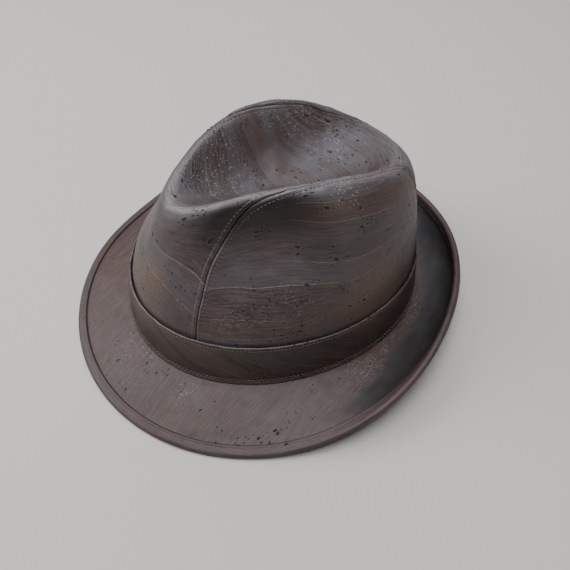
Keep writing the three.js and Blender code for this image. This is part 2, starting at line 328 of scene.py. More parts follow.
def crown_line(angle):
    """Control points of the wall's line, with one more before its foot and after its end."""
    crest_out, crest_up, swell, pinch, outside, inside = (
        around(CROWN_ROWS, CROWN_COLUMNS, name, angle) for name in CROWN_COLUMNS
    )
    foot = (joint_radius(angle) - BAND_WALL - CLEARANCE, joint_height(angle))
    band_top = (foot[0] - BAND_LEAN, foot[1] + BAND_HEIGHT)
    shoulder = (crest_out + outside, crest_up - SHOULDER_DROP * outside)

    def wall(share, extra):
        out = band_top[0] + share * (shoulder[0] - band_top[0]) + extra
        return out, band_top[1] + share * (shoulder[1] - band_top[1])

    def dent(out):
        return out, DENT_FLOOR + (crest_up - DENT_FLOOR) * (out / crest_out) ** 2

    line = [foot, band_top, wall(SWELL_SHARE, swell), wall(PINCH_SHARE, pinch), shoulder]
    line += [(crest_out, crest_up), dent(crest_out - inside)]
    line += [dent(share * crest_out) for share in DENT_SHARES]
    before = (2 * line[0][0] - line[1][0], 2 * line[0][1] - line[1][1])
    after = (-line[-2][0], line[-2][1])
    return np.array([before, *line, after])


def crown_point(angle, station):
    """A point of the crown's outer face."""
    angle, station = np.broadcast_arrays(np.asarray(angle, float), np.asarray(station, float))
    line = crown_line(angle)
    step = np.minimum(np.floor(station).astype(int), LAST_STATION - 1)
    out = up = 0
    for offset, weight in enumerate(spline_weights(station - step)):
        picked = np.take_along_axis(line, (step + offset)[None, None], 0)[0]
        out = out + weight * picked[0]
        up = up + weight * picked[1]
    return in_direction(angle, out, up)


def disc_place(angle, station):
    """The crown's face spread out on a disc: its foot is the rim, the dent's middle the centre."""
    radius = 1 - np.asarray(station, float) / LAST_STATION
    turn = np.radians(angle)
    return np.stack([radius * np.sin(turn), -radius * np.cos(turn)], -1)


def angle_of(place):
    return np.degrees(np.arctan2(place[..., 0], -place[..., 1]))


def radius_of(place):
    return np.hypot(place[..., 0], place[..., 1])


def crown_at(place):
    return crown_point(angle_of(place), LAST_STATION * (1 - np.minimum(radius_of(place), 1)))


def unit(vectors):
    return vectors / np.linalg.norm(vectors, axis=-1)[..., None]


def crown_slopes(place, reach=0.004):
    """How the crown's face moves with a step on the disc, in both directions."""
    steps = np.array([reach, 0.0]), np.array([0.0, reach])
    return [(crown_at(place + step) - crown_at(place - step)) / (2 * reach) for step in steps]


def crown_normal(place):
    """The way out of the crown's face. The foot is cut level."""
    normal = unit(np.cross(*crown_slopes(place)))
    normal[..., 2] = np.where(radius_of(place) > NEAR_FOOT, 0, normal[..., 2])
    return unit(normal)


def lay(points):
    """The hat as it lies: leaned back, lifted and flat where it meets the table."""
    lean = math.radians(LEAN_BACK)
    x, y, z = points[..., 0], points[..., 1], points[..., 2]
    laid_y = y * math.cos(lean) + z * math.sin(lean) + BACK_SHIFT
    laid_z = -y * math.sin(lean) + z * math.cos(lean) + JOINT_UP
    return np.stack([x, laid_y, np.maximum(laid_z, 0)], -1)


def run_length(points, axis=0):
    """The way run along lines of points, from their start."""
    steps = np.linalg.norm(np.diff(points, axis=axis), axis=-1)
    start = np.zeros_like(np.take(steps, [0], axis))
    return np.concatenate([start, np.cumsum(steps, axis)], axis)


def round_length(ring):
    """The way run round a closed ring of points, and the whole of it."""
    steps = np.linalg.norm(np.diff(ring, axis=0, append=ring[:1]), axis=-1)
    return (np.cumsum(steps) - steps[0])[:, None], steps.sum()


def round_angles(count):
    return np.linspace(-180, 180, count, endpoint=False)


def seam_curve():
    """The left seam on the disc, with the share of its length at each place."""
    knots = disc_place(*np.array(SEAM_ROWS, float).T)
    last = len(knots) - 1
    t = np.linspace(0, last, 6001)
    step = np.minimum(np.floor(t).astype(int), last - 1)
    share = (t - step)[:, None]
    before, start = knots[np.maximum(step - 1, 0)], knots[step]
    end, after = knots[step + 1], knots[np.minimum(step + 2, last)]
    lead, trail = (end - before) / 2, (after - start) / 2
    curve = (2 * start - 2 * end + lead + trail) * share**3
    curve = curve + (3 * end - 3 * start - 2 * lead - trail) * share**2 + lead * share + start
    lengths = run_length(curve)
    return lengths / lengths[-1], curve


SEAM_SHARES, SEAM_CURVE = seam_curve()


def seam_place(share):
    """The place on the disc at this share of the left seam."""
    return np.stack([np.interp(share, SEAM_SHARES, SEAM_CURVE[:, k]) for k in (0, 1)], -1)


def smooth_step(value, low, high):
    share = np.clip((value - low) / (high - low), 0, 1)
    return share * share * (3 - 2 * share)


def centre_places(along, across):
    """The centre panel on the disc: rows from the right seam to the left one."""
    place = seam_place(along)[:, None, :]
    middle = np.where(place[..., 1] < 0, 0.0, 180.0)
    swing = angle_of(place) - middle
    radius = radius_of(place)
    bent = disc_place(middle + across * swing, LAST_STATION * (1 - radius) + 0 * across)
    straight = np.stack([across * place[..., 0], place[..., 1] + 0 * across], -1)
    return straight + (bent - straight) * smooth_step(radius, BEND_FROM, BEND_TO)[..., None]


def side_places(side, rise, share):
    """A side panel on the disc, filled evenly between its foot, the seam's legs and the crest."""

    def polar(along):
        place = seam_place(along)
        return angle_of(place), radius_of(place)

    rise = rise[:, None]
    share = share[None, :]
    foot_front, foot_back = polar(np.array(0.0)), polar(np.array(1.0))
    top_front, top_back = polar(np.array(LEG_SHARE)), polar(np.array(1 - LEG_SHARE))
    left, right = polar(LEG_SHARE * rise), polar(1 - LEG_SHARE * rise)
    top = polar(LEG_SHARE + (1 - 2 * LEG_SHARE) * share)
    filled = []
    for key in (0, 1):
        bottom = foot_front[key] + (foot_back[key] - foot_front[key]) * share
        upper = top_front[key] + (top_back[key] - top_front[key]) * share
        corners = bottom + (upper - bottom) * rise
        sides = left[key] + (right[key] - left[key]) * share
        filled.append(bottom + (top[key] - bottom) * rise + sides - corners)
    radius = np.where(rise == 0, 1.0, filled[1])
    return disc_place(side * filled[0], LAST_STATION * (1 - radius))


def band_face(angle, up, out):
    """A point this far up the band and outside the crown's wall, with the foot cut level."""
    station = up / BAND_RISE * BAND_TOP_STATION
    place = disc_place(angle, station)
    normal = crown_normal(place)
    point = crown_at(place) + normal * out
    level = joint_height(angle) + CLEARANCE
    point[..., 2] = np.where(station == 0, level, point[..., 2])
    return point, normal


def brim_reach(angle):
    return around(BRIM_ROWS, BRIM_COLUMNS, "width", angle) - EDGE_RADIUS


def brim_point(angle, out, above):
    """A point so far out from the joint, this much above the middle of the brim's thickness."""
    angle, out, above = np.broadcast_arrays(
        np.asarray(angle, float), np.asarray(out, float), np.asarray(above, float)
    )
    slope = np.radians(around(BRIM_ROWS, BRIM_COLUMNS, "slope", angle))
    curl = np.radians(around(BRIM_ROWS, BRIM_COLUMNS, "curl", angle))
    reach = brim_reach(angle)
    steps = 24
    step = np.maximum(out, 0) / steps
    along = np.minimum(out, 0)
    up = 0 * out
    for i in range(steps):
        steepness = slope + curl * (step * (i + 0.5) / reach) ** CURL_POWER
        along = along + step * np.cos(steepness)
        up = up + step * np.sin(steepness)
    turned_in = np.clip((out + 1) / 2, 0, 1)
    steepness = turned_in * (slope + curl * (np.maximum(out, 0) / reach) ** CURL_POWER)
    along = along - above * np.sin(steepness)
    up = up + above * np.cos(steepness)
    joint = in_direction(angle, joint_radius(angle), joint_height(angle) - BRIM_WALL / 2 + up)
    return joint + way_out(angle) * along[..., None]


def nose_point(angle, radius, turn):
    """A point of the round edge: turn 0 is the top of the brim, 90 its tip, 180 the underside."""
    reach = brim_reach(angle)
    middle = brim_point(angle, reach, 0)
    up = brim_point(angle, reach, 1) - middle
    out = unit(middle - brim_point(angle, reach - 0.1, 0))
    turn = np.radians(turn)
    rise, tip = radius * np.cos(turn), radius * np.sin(turn)
    return middle + up * rise[..., None] + out * tip[..., None]


# Relief of the sewn cloth


def ripple(points, wavelength, seed, waves=14):
    """A smooth irregular field between about -1 and 1, the same at every run."""
    draw = np.random.default_rng(seed)
    field = 0
    for _ in range(waves):
        way = draw.normal(size=3)
        way = way / np.linalg.norm(way) * draw.uniform(0.6, 1.4) * 2 * math.pi / wavelength
        field = field + np.cos(points @ way + draw.uniform(0, 2 * math.pi))
    return field / math.sqrt(waves)


def small_waves(points, rows):
    return sum(height * ripple(points, length, seed) for height, length, seed in rows)


def gather(way, distance, depth, length, reach, seed):
    """Irregular waves along a seam, which fade away from it."""
    line = np.stack([way, 0 * way, 0 * way], -1)
    return depth * np.exp(-distance / reach) * ripple(line, length, seed, 9)


def ridges(distance, rows):
    return sum(height * np.exp(-(((distance - at) / width) ** 2)) for height, at, width in rows)


def roll_off(distance, radius):
    """How far a rounded edge lies below its face."""
    inside = np.clip(radius - distance, 0, radius)
    return radius - np.sqrt(radius**2 - inside**2)


def seam_lines():
    """Points of both seams on the crown's face, with the way along each."""
    left = crown_at(seam_place(np.linspace(0, 1, 3001)))
    right = left * np.array([-1.0, 1.0, 1.0])
    tree = kdtree.KDTree(2 * len(left))
    for i, point in enumerate(np.concatenate([left, right])):
        tree.insert(point, i)
    tree.balance()
    return tree, run_length(left)


SEAM_TREE, SEAM_WAY = seam_lines()
OTHER_SEAM = 1000.0


def seam_distances(points):
    """For each point the distance to the nearest seam, and the way along it."""
    found = [SEAM_TREE.find(point)[1:] for point in points.reshape(-1, 3)]
    index = np.array([f[0] for f in found])
    distance = np.array([f[1] for f in found])
    way = SEAM_WAY[index % len(SEAM_WAY)] + OTHER_SEAM * (index >= len(SEAM_WAY))
    return distance.reshape(points.shape[:-1]), way.reshape(points.shape[:-1])


def crown_relief(face, place, distance, way, ridge, sizes):
    """How far the sewn cloth of a crown panel stands out from the crown's face."""
    rows = (
        (ridge, RIDGE_PLACE, RIDGE_WIDTH),
        (-sizes.stitch_depth, sizes.stitch_offset, GROOVE_WIDTH),
    )
    depth, length = sizes.pucker_depth, sizes.pucker_length
    relief = ridges(distance, rows) - roll_off(distance, sizes.seam_roll)
    relief = relief + gather(way, distance, depth, length, CROWN_GATHER_REACH, CROWN_GATHER_SEED)
    relief = relief + small_waves(face, CROWN_WAVES)
    return relief * smooth_step(radius_of(place), AT_FOOT, FULL_RELIEF)


# Meshes


def edge_steps(length, fine=0.3, fine_length=4.5, coarse=1.4):
    """Distances from an edge, close together near it, up to this length."""
    near = np.arange(0, fine_length, fine)
    count = max(int(round((length - fine_length) / coarse)), 2)
    return np.concatenate([near, np.linspace(fine_length, length, count)])


def both_ways(half):
    """Shares of a whole length, from the distances up to its middle."""
    share = half / (2 * half[-1])
    return np.concatenate([share, (1 - share)[-2::-1]])


def grid_faces(rows, columns, close_rows=False, close_columns=False):
    """Quads over a grid of vertices, which may close on itself either way."""
    i = np.arange(rows if close_rows else rows - 1)[:, None]
    j = np.arange(columns if close_columns else columns - 1)[None, :]
    after_i, after_j = (i + 1) % rows, (j + 1) % columns
    corners = ((i, j), (after_i, j), (after_i, after_j), (i, after_j))
    return np.stack([row * columns + column for row, column in corners], -1).reshape(-1, 4)


def border(rows, columns):
    """The vertices round a grid, in order."""
    grid = np.arange(rows * columns).reshape(rows, columns)
    return np.concatenate([grid[0, :-1], grid[:-1, -1], grid[-1, :0:-1], grid[:0:-1, 0]])


def face_outward(points, faces):
    """Turns the faces of a closed body so that they point out."""
    a, b, c, d = (points[faces[:, k]] for k in range(4))
    volume = np.einsum("ij,ij->", a, np.cross(b, c)) + np.einsum("ij,ij->", a, np.cross(c, d))
    return faces if volume > 0 else faces[:, ::-1]


def patch_marks(points):
    """How strongly each point of a piece lies in the painted patches."""
    marks = {"pale": np.zeros(len(points)), "golden": np.zeros(len(points))}
    for mark, x, y, z, reach, strength in PATCH_ROWS:
        distance = np.linalg.norm(points - np.array([x, y, z]), axis=1)
        share = strength * smooth_step(distance, reach, PATCH_CORE * reach)
        marks[mark] = np.maximum(marks[mark], share)
    return marks


def new_object(name, data):
    item = bpy.data.objects.new(name, data)
    bpy.context.scene.collection.objects.link(item)
    return item


def make_piece(name, points, faces, grain, material, period=None, marks=None):
    """A smooth mesh from millimetre points, with its grain map and its painted marks."""
    faces = face_outward(points, faces)
    mesh = bpy.data.meshes.new(name)
    mesh.vertices.add(len(points))
    mesh.vertices.foreach_set("co", (points * METRES).astype(np.float32).ravel())
    mesh.loops.add(faces.size)
    mesh.loops.foreach_set("vertex_index", faces.astype(np.int32).ravel())
    mesh.polygons.add(len(faces))
    mesh.polygons.foreach_set("loop_start", np.arange(0, faces.size, 4, dtype=np.int32))
    mesh.update(calc_edges=True)
    mesh.polygons.foreach_set("use_smooth", np.ones(len(faces), bool))
    mesh.set_sharp_from_angle(angle=math.radians(SHARP_EDGE))
    corners = grain[faces] / GRAIN_UNIT
    if period:
        round_way = corners[..., 0]
        behind = round_way < round_way.max(1)[:, None] - period / GRAIN_UNIT / 2
        round_way += behind * period / GRAIN_UNIT
    layer = mesh.uv_layers.new(name="grain")
    layer.data.foreach_set("uv", corners.astype(np.float32).ravel())
    for key, values in {**patch_marks(points), **(marks or {})}.items():
        attribute = mesh.attributes.new(key, "FLOAT", "POINT")
        attribute.data.foreach_set("value", values.astype(np.float32).ravel())
    mesh.materials.append(material)
    if mesh.validate():
        raise RuntimeError(f"{name} has faces that aren't valid")
    piece = new_object(name, mesh)
    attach(piece, BODY)
    return piece


def crown_wear_and_painted_light(place, distance, edge):
    """Pale on the crest and a seam's edge, partly wear, partly painted highlight; painted shade in
    the folds.
    """
    angle = np.abs(angle_of(place))
    station = LAST_STATION * (1 - radius_of(place))
    # Pale along the crest and a seam's edge: partly wear, partly painted highlight, fainter on the
    # far side
    wear_and_highlight = ridges(station, CREST_WEAR_AND_HIGHLIGHT)
    wear_and_highlight = wear_and_highlight + ridges(distance, ((edge, SEAM_WEAR_AND_HIGHLIGHT_PLACE, SEAM_WEAR_AND_HIGHLIGHT_WIDTH),))
    far_side = smooth_step(-place[..., 0], 0.05, 0.25)
    # Painted shade: the folds beside the nose, under the crest, are darkened
    beside_nose = smooth_step(angle, 12, 32) * smooth_step(angle, 105, 70)
    hollow = smooth_step(station, 2.9, 3.7) * smooth_step(station, 4.6, 4.2)
    return {
        "wear_and_highlight": np.minimum(wear_and_highlight, 1) * (1 - 0.8 * far_side),
        "painted_shade": 1.65 * beside_nose * hollow,
    }


def panel_piece(name, places, seams, ridge, sizes, material):
    """A crown panel: its outer face with the seam's relief, its inner face and its edges."""
    rows, columns = places.shape[:2]
    face = crown_at(places)
    normals = crown_normal(places)
    moves = np.zeros_like(face)
    edges = {
        "right": (np.s_[:, 0], np.s_[:, 2]),
        "left": (np.s_[:, -1], np.s_[:, -3]),
        "top": (np.s_[-1, :], np.s_[-3, :]),
    }
    for seam in seams:
        edge, inside = edges[seam]
        moves[edge] += unit(face[inside] - face[edge]) * CLEARANCE / 2
    distance, way = seam_distances(face)
    relief = crown_relief(face, places, distance, way, ridge, sizes)
    foot = radius_of(places) > AT_FOOT
    level = joint_height(angle_of(places)) + CLEARANCE
    sheets = []
    for depth in (-relief, CROWN_WALL + 0 * relief):
        sheet = face - normals * depth[..., None] + moves
        sheet[..., 2] = np.where(foot, level, sheet[..., 2])
        sheets.append(sheet.reshape(-1, 3))
    count = rows * columns
    ring = border(rows, columns)
    after = np.roll(ring, -1)
    grid = grid_faces(rows, columns)
    wall = np.stack([ring, after, after + count, ring + count], -1)
    faces = np.concatenate([grid, count + grid[:, ::-1], wall])
    middle = columns // 2
    across = run_length(face, 1)
    across -= across[:, middle][:, None]
    along = run_length(face[:, middle])[:, None] + 0 * across
    if len(seams) == 2:
        slope = 1 - 2 * smooth_step(along, *FRONT_TURN) + smooth_step(along, *BACK_TURN)
        along = along + across * GRAIN_SLOPE * slope
    grain = np.tile(np.stack([across, along], -1).reshape(-1, 2), (2, 1))
    # Pale wear with painted highlight on crest and seam edges, and painted shade in the folds
    wear_and_painted_light = crown_wear_and_painted_light(places, distance, SEAM_WEAR_AND_HIGHLIGHT * ridge)
    marks = {key: np.tile(values.ravel(), 2) for key, values in wear_and_painted_light.items()}
    return make_piece(name, lay(np.concatenate(sheets)), faces, grain, material, marks=marks)


def ring_piece(name, sections, grain, material, period=None, marks=None):
    """A piece round the hat from its closed sections, one row each."""
    faces = grid_faces(*sections.shape[:2], True, True)
    points = lay(sections.reshape(-1, 3))
    return make_piece(name, points, faces, grain.reshape(-1, 2), material, period, marks)


def stitch_piece(name, rows, spacing, material):
    """Thread stitches whose ends dive into the cloth, as one mesh. Each row gives the stitches'
    middles, the ways that they run and the ways out of the cloth."""
    share, width, _ = STITCHES[name]
    length = spacing * share
    sides = 6
    stations = np.linspace(-1, 1, 6)
    middles, ways, ups = (np.concatenate(group) for group in zip(*rows))
    ways = unit(ways)
    ups = unit(ups - ways * np.sum(ups * ways, -1)[:, None])
    across = np.cross(ways, ups)
    thick = width / 2 * np.sqrt(np.maximum(1 - 0.9 * stations**4, 0.02))
    dive = -0.9 * width * stations**4
    turn = np.arange(sides) / sides * 2 * math.pi
    rings = (
        middles[:, None, None]
        + ways[:, None, None] * (stations * length / 2)[None, :, None, None]
        + ups[:, None, None] * (dive[:, None] + thick[:, None] * np.cos(turn))[None, ..., None]
        + across[:, None, None] * (thick[:, None] * np.sin(turn))[None, ..., None]
    )
    count, size = len(middles), len(stations) * sides
    caps = np.array([[0, 1, 2, 3], [0, 3, 4, 5], [3, 2, 1, 0], [5, 4, 3, 0]])
    caps[2:] += size - sides
    one = np.concatenate([grid_faces(len(stations), sides, close_columns=True), caps])
    faces = (one[None] + (np.arange(count) * size)[:, None, None]).reshape(-1, 4)
    along = np.repeat(np.arange(count), size) * 7.0 + np.tile(np.repeat(stations, sides), count)
    grain = np.stack([along, np.tile(turn, count * len(stations))], -1)
    return make_piece(name, lay(rings.reshape(-1, 3)), faces, grain, material)


# Finishes


def new_node(tree, kind, **settings):
    node = tree.nodes.new(kind)
    for key, value in settings.items():
        setattr(node, key, value)
    return node


def set_socket(tree, socket, value):
    if isinstance(value, bpy.types.NodeSocket):
        tree.links.new(value, socket)
    else:
        socket.default_value = value


def feed(tree, node, **inputs):
    """Sets a node's inputs by name, from a value or another node's output; i0 is its first."""
    for key, value in inputs.items():
        place = int(key[1:]) if key[0] == "i" and key[1:].isdigit() else key
        set_socket(tree, node.inputs[place], value)
    return node


def maths(tree, operation, a, b):
    return feed(tree, new_node(tree, "ShaderNodeMath", operation=operation), i0=a, i1=b).outputs[0]


def scaled(tree, vector, x, y):
    node = new_node(tree, "ShaderNodeVectorMath", operation="MULTIPLY")
    return feed(tree, node, i0=vector, i1=(x, y, 1.0)).outputs[0]


def noise(tree, vector, x, y, detail=1.0, roughness=0.55):
    """Noise with so many waves to a unit of grain, across and up."""
    node = new_node(tree, "ShaderNodeTexNoise")
    feed(tree, node, Vector=scaled(tree, vector, x, y), Scale=1.0)
    return feed(tree, node, Detail=detail, Roughness=roughness).outputs[0]


def band_pass(tree, value, low, high):
    """0 below low, 1 above high and a smooth rise between; low may be above high."""
    node = new_node(tree, "ShaderNodeMapRange", interpolation_type="SMOOTHSTEP")
    return feed(tree, node, Value=value, **{"From Min": low, "From Max": high}).outputs[0]


def blend_colours(tree, share, a, b):
    node = new_node(tree, "ShaderNodeMix", data_type="RGBA")
    set_socket(tree, node.inputs[0], share)
    for socket, colour in ((node.inputs[6], a), (node.inputs[7], b)):
        plain = not isinstance(colour, bpy.types.NodeSocket)
        set_socket(tree, socket, (*colour[:3], 1) if plain else colour)
    return node.outputs[2]


def scattered(tree, vector, x, y):
    """Cells strewn over the cloth: the distance from a cell's middle and its two chances."""
    cells = new_node(tree, "ShaderNodeTexVoronoi", feature="F1", voronoi_dimensions="2D")
    feed(tree, cells, Vector=scaled(tree, vector, x, y), Scale=1.0, Randomness=1.0)
    chances = new_node(tree, "ShaderNodeSeparateColor")
    feed(tree, chances, i0=cells.outputs["Color"])
    return cells.outputs["Distance"], chances.outputs[0], chances.outputs[1]


def total(tree, *parts):
    """The sum of values, each with its weight."""
    weighed = [maths(tree, "MULTIPLY", value, weight) for value, weight in parts]
    result = weighed[0]
    for value in weighed[1:]:
        result = maths(tree, "ADD", result, value)
    return result


def product(tree, *values):
    result = values[0]
    for value in values[1:]:
        result = maths(tree, "MULTIPLY", result, value)
    return result


def cork_grain_group():
    """The cork's own marks: strips, glue lines, streaks, pores with their rims, and flecks."""
    group = bpy.data.node_groups.get("cork_grain")
    if group:
        return group
    group = bpy.data.node_groups.new("cork_grain", "ShaderNodeTree")
    face = group.interface
    face.new_socket("Grain", in_out="INPUT", socket_type="NodeSocketVector")
    for name, value in (("Streak Turn", 0.0), ("Strips", 8.5), ("Pore Share", 0.5)):
        face.new_socket(name, in_out="INPUT", socket_type="NodeSocketFloat").default_value = value
    outputs = (
        "Streaks", "Fibres", "Blotches", "Strip", "Hue", "Lines", "Pores", "Rims", "Flecks",
        "Specks", "Height",
    )
    for name in outputs:
        face.new_socket(name, in_out="OUTPUT", socket_type="NodeSocketFloat")
    given = new_node(group, "NodeGroupInput").outputs
    result = new_node(group, "NodeGroupOutput")
    turn = new_node(group, "ShaderNodeVectorRotate", rotation_type="Z_AXIS")
    feed(group, turn, Vector=given["Grain"], Angle=given["Streak Turn"])
    grain = turn.outputs[0]

    def shifted(vector, amount, axis):
        shift = new_node(group, "ShaderNodeCombineXYZ")
        feed(group, shift, **{axis: amount})
        moved = new_node(group, "ShaderNodeVectorMath", operation="ADD")
        return feed(group, moved, i0=vector, i1=shift.outputs[0]).outputs[0]

    # The grain sways, and the marks' outlines are ragged
    sway = total(group, (noise(group, grain, 1.6, 2.2), 0.11), (noise(group, grain, 9, 12), 0.010))
    cloth = shifted(grain, sway, "Y")
    jitter = maths(group, "MULTIPLY", noise(group, cloth, 110, 150), 0.012)
    ragged = shifted(shifted(cloth, jitter, "X"), maths(group, "MULTIPLY", jitter, -0.7), "Y")

    streaks = noise(group, cloth, 6, 100, 5.0, 0.62)
    fibres = noise(group, cloth, 24, 420, 2.0, 0.5)
    blotches = noise(group, cloth, 5, 11, 3.0, 0.5)

    # Strips of cork glued side by side, with broken glue lines between some of them
    height_on_cloth = new_node(group, "ShaderNodeSeparateXYZ")
    feed(group, height_on_cloth, i0=cloth)
    level = maths(group, "MULTIPLY", height_on_cloth.outputs[1], given["Strips"])
    strips, edges = (
        new_node(group, "ShaderNodeTexVoronoi", feature=feature, voronoi_dimensions="1D")
        for feature in ("F1", "DISTANCE_TO_EDGE")
    )
    for node in (strips, edges):
        feed(group, node, W=level, Scale=1.0, Randomness=0.85)
    tones = new_node(group, "ShaderNodeSeparateColor")
    feed(group, tones, i0=strips.outputs["Color"])
    thin = band_pass(group, edges.outputs["Distance"], 0.017, 0.007)
    present = band_pass(group, noise(group, cloth, 1.2, 9), 0.45, 0.55)
    broken = band_pass(group, noise(group, cloth, 16, 60, 2.0), 0.30, 0.46)
    lines = product(group, thin, present, broken)

    # Pores, which gather in places, and their rims
    gathered = noise(group, cloth, 3.2, 5.5)

    def pore_depth(x, y, gathering, low, high, size):
        distance, chance, _ = scattered(group, ragged, x, y)
        score = total(group, (chance, 0.6), (gathered, gathering), (given["Pore Share"], 0.2))
        reach = maths(group, "MULTIPLY", band_pass(group, score, low, high), size)
        return maths(group, "SUBTRACT", reach, distance), reach

    depth, reach = pore_depth(10, 19, 0.9, 0.96, 1.18, 0.145)
    large = band_pass(group, depth, -0.006, 0.014)
    round_pore = band_pass(group, depth, -0.04, -0.012)
    rims = product(group, round_pore, band_pass(group, reach, 0.0, 0.03))
    depth, _ = pore_depth(30, 62, 1.2, 1.14, 1.40, 0.25)
    pores = maths(group, "MAXIMUM", large, band_pass(group, depth, -0.01, 0.05))
    rims = product(group, rims, maths(group, "SUBTRACT", 1.0, pores))

    distance, chance, kept = scattered(group, ragged, 72, 104)
    reach = maths(group, "MULTIPLY", band_pass(group, chance, 0.2, 1.0), 0.36)
    flecks = band_pass(group, maths(group, "SUBTRACT", reach, distance), -0.04, 0.10)
    flecks = product(group, flecks, band_pass(group, kept, 0.1, 0.9))
    specks = band_pass(group, noise(group, ragged, 120, 160, 1.0, 0.4), 0.57, 0.70)

    height = total(
        group, (streaks, 0.30), (fibres, 0.12), (pores, -1.0), (rims, 0.12), (lines, 0.22),
        (flecks, 0.05),
    )
    feed(
        group, result, Streaks=streaks, Fibres=fibres, Blotches=blotches, Strip=tones.outputs[0],
        Hue=tones.outputs[1], Lines=lines, Pores=pores, Rims=rims, Flecks=flecks, Specks=specks,
        Height=height,
    )
    return group


def painted(tree, name):
    """A mask painted on the piece's points."""
    return new_node(tree, "ShaderNodeAttribute", attribute_name=name).outputs["Fac"]


def cork_material(name, colours):
    """Satin cork cloth for the crown, the band, the brim or the binding."""
    gloss, turn, strips, pores, strip_share = CLOTHS[name]
    dark, mid, cool, warm = (getattr(colours, key) for key in SHADES[name])
    material = bpy.data.materials.new(f"{name}_cork_cloth")
    material.use_nodes = True
    tree = material.node_tree
    tree.nodes.clear()
    result = new_node(tree, "ShaderNodeOutputMaterial")
    shader = new_node(tree, "ShaderNodeBsdfPrincipled")
    tree.links.new(shader.outputs[0], result.inputs[0])
    coordinates = new_node(tree, "ShaderNodeUVMap", uv_map="grain")
    grain = new_node(tree, "ShaderNodeGroup", node_tree=cork_grain_group())
    feed(tree, grain, Grain=coordinates.outputs[0], Strips=strips)
    feed(tree, grain, **{"Streak Turn": turn, "Pore Share": pores})
    out = grain.outputs
    pale, golden, wear_and_highlight, painted_shade = (
        painted(tree, mark) for mark in ("pale", "golden", "wear_and_highlight", "painted_shade")
    )

    # Streaks, then the strips' tones with glue lines between them
    streaks = total(tree, (out["Streaks"], 0.75), (out["Fibres"], 0.25))
    colour = blend_colours(tree, band_pass(tree, streaks, 0.36, 0.64), dark, mid)
    share = product(tree, band_pass(tree, out["Strip"], 0.45, 0.75), 0.5 * strip_share)
    colour = blend_colours(tree, share, colour, cool)
    share = total(
        tree, (band_pass(tree, out["Hue"], 0.6, 0.9), 0.30 * strip_share),
        (band_pass(tree, out["Blotches"], 0.5, 0.75), 0.25), (golden, 0.5),
    )
    colour = blend_colours(tree, maths(tree, "MINIMUM", share, 0.9), colour, warm)
    colour = blend_colours(tree, product(tree, out["Lines"], 0.6 * strip_share), colour, GLUE)

    # Golden specks, pale flecks, pale wear with painted highlight, and painted shade
    specks = product(tree, out["Specks"], maths(tree, "MAXIMUM", golden, product(tree, pale, 0.5)))
    colour = blend_colours(tree, product(tree, specks, 0.8), colour, GOLD)
    share = product(tree, out["Flecks"], total(tree, (pale, 0.8), (1.0, 0.03)))
    colour = blend_colours(tree, share, colour, PALE_FLECK)
    broken = total(tree, (band_pass(tree, streaks, 0.38, 0.62), 0.5), (1.0, 0.2))
    colour = blend_colours(tree, product(tree, wear_and_highlight, broken), colour, WEAR_AND_HIGHLIGHT)
    # Painted shade: darkens the folds, the curled brim and the binding's edge
    colour = blend_colours(tree, product(tree, painted_shade, 0.55), colour, PORE_AND_SHADE_DARK)

    # Pores, fewer among the flecks
    colour = blend_colours(tree, product(tree, out["Rims"], 0.25), colour, GLUE)
    few = maths(tree, "SUBTRACT", 0.95, product(tree, pale, 0.8))
    colour = blend_colours(tree, product(tree, out["Pores"], few), colour, PORE_AND_SHADE_DARK)
    rough = total(
        tree, (out["Blotches"], 0.14), (out["Streaks"], 0.12), (out["Pores"], 0.5), (gloss, 1.0),
    )
    relief = new_node(tree, "ShaderNodeBump")
    feed(tree, relief, Strength=0.7, Distance=0.0004, Height=out["Height"])
    feed(
        tree, shader, Roughness=maths(tree, "MINIMUM", rough, 1.0), Normal=relief.outputs[0],
        IOR=1.5, **{"Base Color": colour},
    )
    return material


def thread_material(name, colour):
    """Twisted sewing thread."""
    material = bpy.data.materials.new(name)
    material.use_nodes = True
    tree = material.node_tree
    shader = tree.nodes["Principled BSDF"]
    coordinates = new_node(tree, "ShaderNodeUVMap", uv_map="grain")
    twist = new_node(tree, "ShaderNodeTexWave", bands_direction="DIAGONAL")
    feed(tree, twist, Vector=scaled(tree, coordinates.outputs[0], 60, 16), Scale=3.0)
    shade = blend_colours(tree, twist.outputs[1], [c * 0.55 for c in colour], colour)
    relief = new_node(tree, "ShaderNodeBump")
    feed(tree, relief, Strength=0.5, Distance=0.0001, Height=twist.outputs[1])
    feed(tree, shader, Roughness=0.7, Normal=relief.outputs[0], **{"Base Color": shade})
    return material


# What a user may change


class FedoraSizes(bpy.types.PropertyGroup):
    """Sizes of the sewing, in millimetres of the real hat"""

    seam_roll: bpy.props.FloatProperty(
        name="Seam roll", description="Radius with which a panel turns down at its seam",
        default=1.1, min=0.2, max=2.0,
    )
    stitch_depth: bpy.props.FloatProperty(
        name="Stitch depth", description="How deep the rows of topstitching press into the cloth",
        default=0.26, min=0.0, max=1.0,
    )
    stitch_offset: bpy.props.FloatProperty(
        name="Stitch offset", description="Distance of the topstitching from a crown seam",
        default=2.9, min=1.0, max=6.0,
    )
    stitch_spacing: bpy.props.FloatProperty(
        name="Stitch spacing", description="Length from one stitch to the next",
        default=2.5, min=1.0, max=6.0,
    )
    pucker_depth: bpy.props.FloatProperty(
        name="Pucker depth", description="How far the cloth gathers in waves along a seam",
        default=0.22, min=0.0, max=1.0,
    )
    pucker_length: bpy.props.FloatProperty(
        name="Pucker length", description="Length of one wave along a seam",
        default=6.0, min=2.0, max=20.0,
    )


def colour_property(label, description, default):
    return bpy.props.FloatVectorProperty(
        name=label, description=description, default=default, size=3, subtype="COLOR",
        min=0.0, max=1.0,
    )


